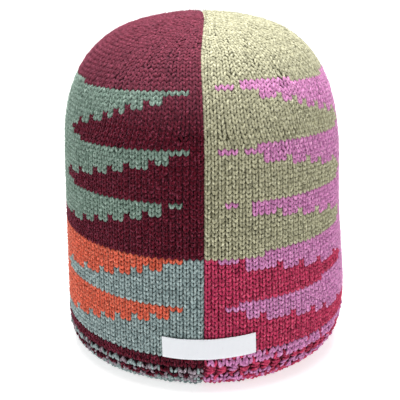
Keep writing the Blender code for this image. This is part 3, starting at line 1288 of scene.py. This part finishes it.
@dataclass
class Label:
    """The bare woven tape on the front, bent to the hat and sewn down along its edge."""

    plan: KnitPlan
    length: float = 54.0 * MM
    width: float = 12.8 * MM
    thickness: float = 0.55 * MM
    cells: tuple[int, int] = (42, 10)  # along and across
    side_step: float = 2.5 * MM
    sag: float = 1.3 * MM  # how much lower its middle hangs than its ends
    tilt: float = math.radians(2.1)
    stand_off: float = 0.45 * MM
    edge_dip: float = 0.25 * MM
    edge_sharpness: int = 8
    rounding: float = 0.15 * MM
    ripple: float = 0.12 * MM
    ripple_run: float = 17.0  # radians of the ripple in the tape's length
    ripple_start: float = 0.6
    lower_ripple: float = 0.4  # of the ripple, which is left in the lower half

    def build(self) -> bpy.types.Object:
        """Cuts the tape flat, gives it its thickness and bends it to the hat.

        Returns:
            The finished label.
        """
        deselect_all()
        bpy.ops.mesh.primitive_grid_add(x_subdivisions=self.cells[0], y_subdivisions=self.cells[1], size=1.0)
        tape = bpy.context.object
        tape.name = tape.data.name = "label_tape"
        with edit_mode():
            bpy.ops.transform.resize(value=(self.length, self.width, 1.0))
        layer = tape.data.uv_layers[0]
        layer.name = "tape"
        for loop in tape.data.loops:
            layer.data[loop.index].uv = tape.data.vertices[loop.vertex_index].co.xy
        apply_modifier(tape, "SOLIDIFY", thickness=self.thickness, offset=1.0)
        apply_modifier(tape, "BEVEL", width=self.rounding, segments=2, angle_limit=math.radians(50))
        tape.data.vertices.foreach_set("co", self.bent(corners(tape)).ravel())
        tape.data.update()
        tape.data.shade_smooth()
        dress(tape, LABEL_TAPE, "label")
        return tape

    def bent(self, flat: np.ndarray) -> np.ndarray:
        """Bends the flat tape to the hat.

        Args:
            flat: its points, in metres along, up and off the tape.

        Returns:
            The same points on the hat.
        """
        along, up, off = flat.T
        form = self.plan.form
        middle = self.plan.hem_height + self.width / 2
        level = middle + up * math.cos(self.tilt) + along * math.sin(self.tilt)
        level += self.sag * (along / (self.length / 2)) ** 2
        reach = self.side_step + along * math.cos(self.tilt) - up * math.sin(self.tilt)
        heights = form.blend(form.places)[:, 0] * form.height
        place = np.interp(level, heights, form.places)
        turn = reach / (form.half_width * form.blend(place)[:, 1])
        to_edge = np.maximum(np.abs(along) / (self.length / 2), np.abs(up) / (self.width / 2))
        dip = self.edge_dip * np.clip(to_edge, 0, 1) ** self.edge_sharpness
        wave = np.sin(along / self.length * self.ripple_run + self.ripple_start)
        ripple = self.ripple * wave * (self.lower_ripple + (1 - self.lower_ripple) * (up > 0))
        lift = self.stand_off + off - dip + ripple
        return form.point(place, turn) + form.normal(place, turn) * lift[:, None]


# The studio


class Softbox(NamedTuple):
    """A square soft light."""

    name: str
    place: tuple[float, float, float]
    aim: tuple[float, float, float]  # what it points at
    size: float  # how wide it is, in metres
    power: float  # in watts


SOFTBOXES = (
    Softbox("top_softbox", place=(0.0, 0.02, 0.72), aim=(0.0, 0.02, 0.0), size=0.50, power=6.1),
    Softbox("back_softbox", place=(0.0, 0.75, 0.80), aim=(0.0, 0.0, 0.12), size=0.80, power=5.5),
)


@dataclass
class Studio:
    """A white sweep under a broad soft light from above, seen from a little over the hat."""

    eye: tuple[float, float, float] = (-0.0023, -0.803, 0.391)
    aim: tuple[float, float, float] = (-0.0023, 0.0, 0.0864)
    lens: float = 126.2
    sensor: float = 36.0
    room_light: float = 0.41
    floor_size: float = 12.0
    floor_glow: float = 0.70

    def build(self) -> None:
        """Sets up the floor, the lights and the camera."""
        self.floor()
        for softbox in SOFTBOXES:
            self.light(softbox)
        world = bpy.data.worlds.new("white_room")
        world.use_nodes = True
        walls = world.node_tree.nodes["Background"].inputs
        walls["Color"].default_value = linear("ffffff")
        walls["Strength"].default_value = self.room_light
        bpy.context.scene.world = world
        bpy.context.scene.view_settings.view_transform = "Standard"
        self.camera()

    def floor(self) -> None:
        """Lays a plain white floor that runs far behind the hat, lit from below to keep the shadow pale."""
        deselect_all()
        bpy.ops.mesh.primitive_plane_add(size=self.floor_size)
        floor = bpy.context.object
        floor.name = "floor"
        acrylic, _ = new_material("backlit_opal_acrylic", {
            "Base Color": linear("d2d2d2"),
            "Roughness": 0.9,
            "Emission Color": linear("ffffff"),
            "Emission Strength": self.floor_glow,
        })
        floor.data.materials.append(acrylic)

    @staticmethod
    def light(softbox: Softbox) -> None:
        """Hangs a soft light.

        Args:
            softbox: the light.
        """
        data = bpy.data.lights.new(softbox.name, "AREA")
        data.shape = "SQUARE"
        data.size = softbox.size
        data.energy = softbox.power
        lamp = bpy.data.objects.new(softbox.name, data)
        lamp.location = softbox.place
        heading = Vector(softbox.aim) - Vector(softbox.place)
        lamp.rotation_euler = heading.to_track_quat("-Z", "Y").to_euler()
        bpy.context.scene.collection.objects.link(lamp)

    def camera(self) -> None:
        """Places the camera at the photograph's angle and makes it the scene's own."""
        data = bpy.data.cameras.new("camera")
        data.lens = self.lens
        data.sensor_width = self.sensor
        camera = bpy.data.objects.new("camera", data)
        camera.location = self.eye
        camera.rotation_euler = (Vector(self.aim) - Vector(self.eye)).to_track_quat("-Z", "Y").to_euler()
        bpy.context.scene.collection.objects.link(camera)
        bpy.context.scene.camera = camera


def report(pieces: list[bpy.types.Object]) -> None:
    """Logs the name and the number of faces of each piece."""
    for piece in pieces:
        LOG.info("%s: %d faces", piece.name, len(piece.data.polygons))


def main() -> None:
    """Builds the hat panel by panel, then the label and the studio."""
    logging.basicConfig(level=logging.INFO, format="%(name)s %(message)s")
    form = HatForm(height=0.201, half_width=0.085, half_depth=0.0875)
    plan = KnitPlan(form, hem_height=0.0225, change_height=0.083)
    shape, fibre = StrandShape(), FibreShape()
    left = LEFT_CHART.marked(plan.courses, plan.wales)
    right = RIGHT_CHART.marked(plan.courses, plan.wales)
    change, top = plan.side_courses, plan.courses
    panels = (
        Panel("crown_left", Side.LEFT, BURGUNDY, SAGE, plan, left, change, top, seed=11, easing=0.55),
        Panel(
            "crown_right", Side.RIGHT, KHAKI, PINK, plan, right, change, top, seed=12,
            eased_from=34, eased_to=58, easing=0.85,
        ),
        Panel("side_left", Side.LEFT, GREY, ORANGE, plan, left, 0, change, seed=13),
        Panel("side_right", Side.RIGHT, CRIMSON, PINK, plan, right, 0, change, seed=14, first_course=1),
    )
    hems = (
        Hem("hem_left", Side.LEFT, "burgundy_grey_wool", LEFT_HEM, BURGUNDY, plan, seed=21),
        Hem("hem_right", Side.RIGHT, "crimson_pink_wool", RIGHT_HEM, CRIMSON, plan, seed=22),
    )
    for part in (*panels, *hems):
        report(part.build(shape, fibre))
    report([Label(plan).build()])
    Studio().build()


if __name__ == "__main__":
    main()
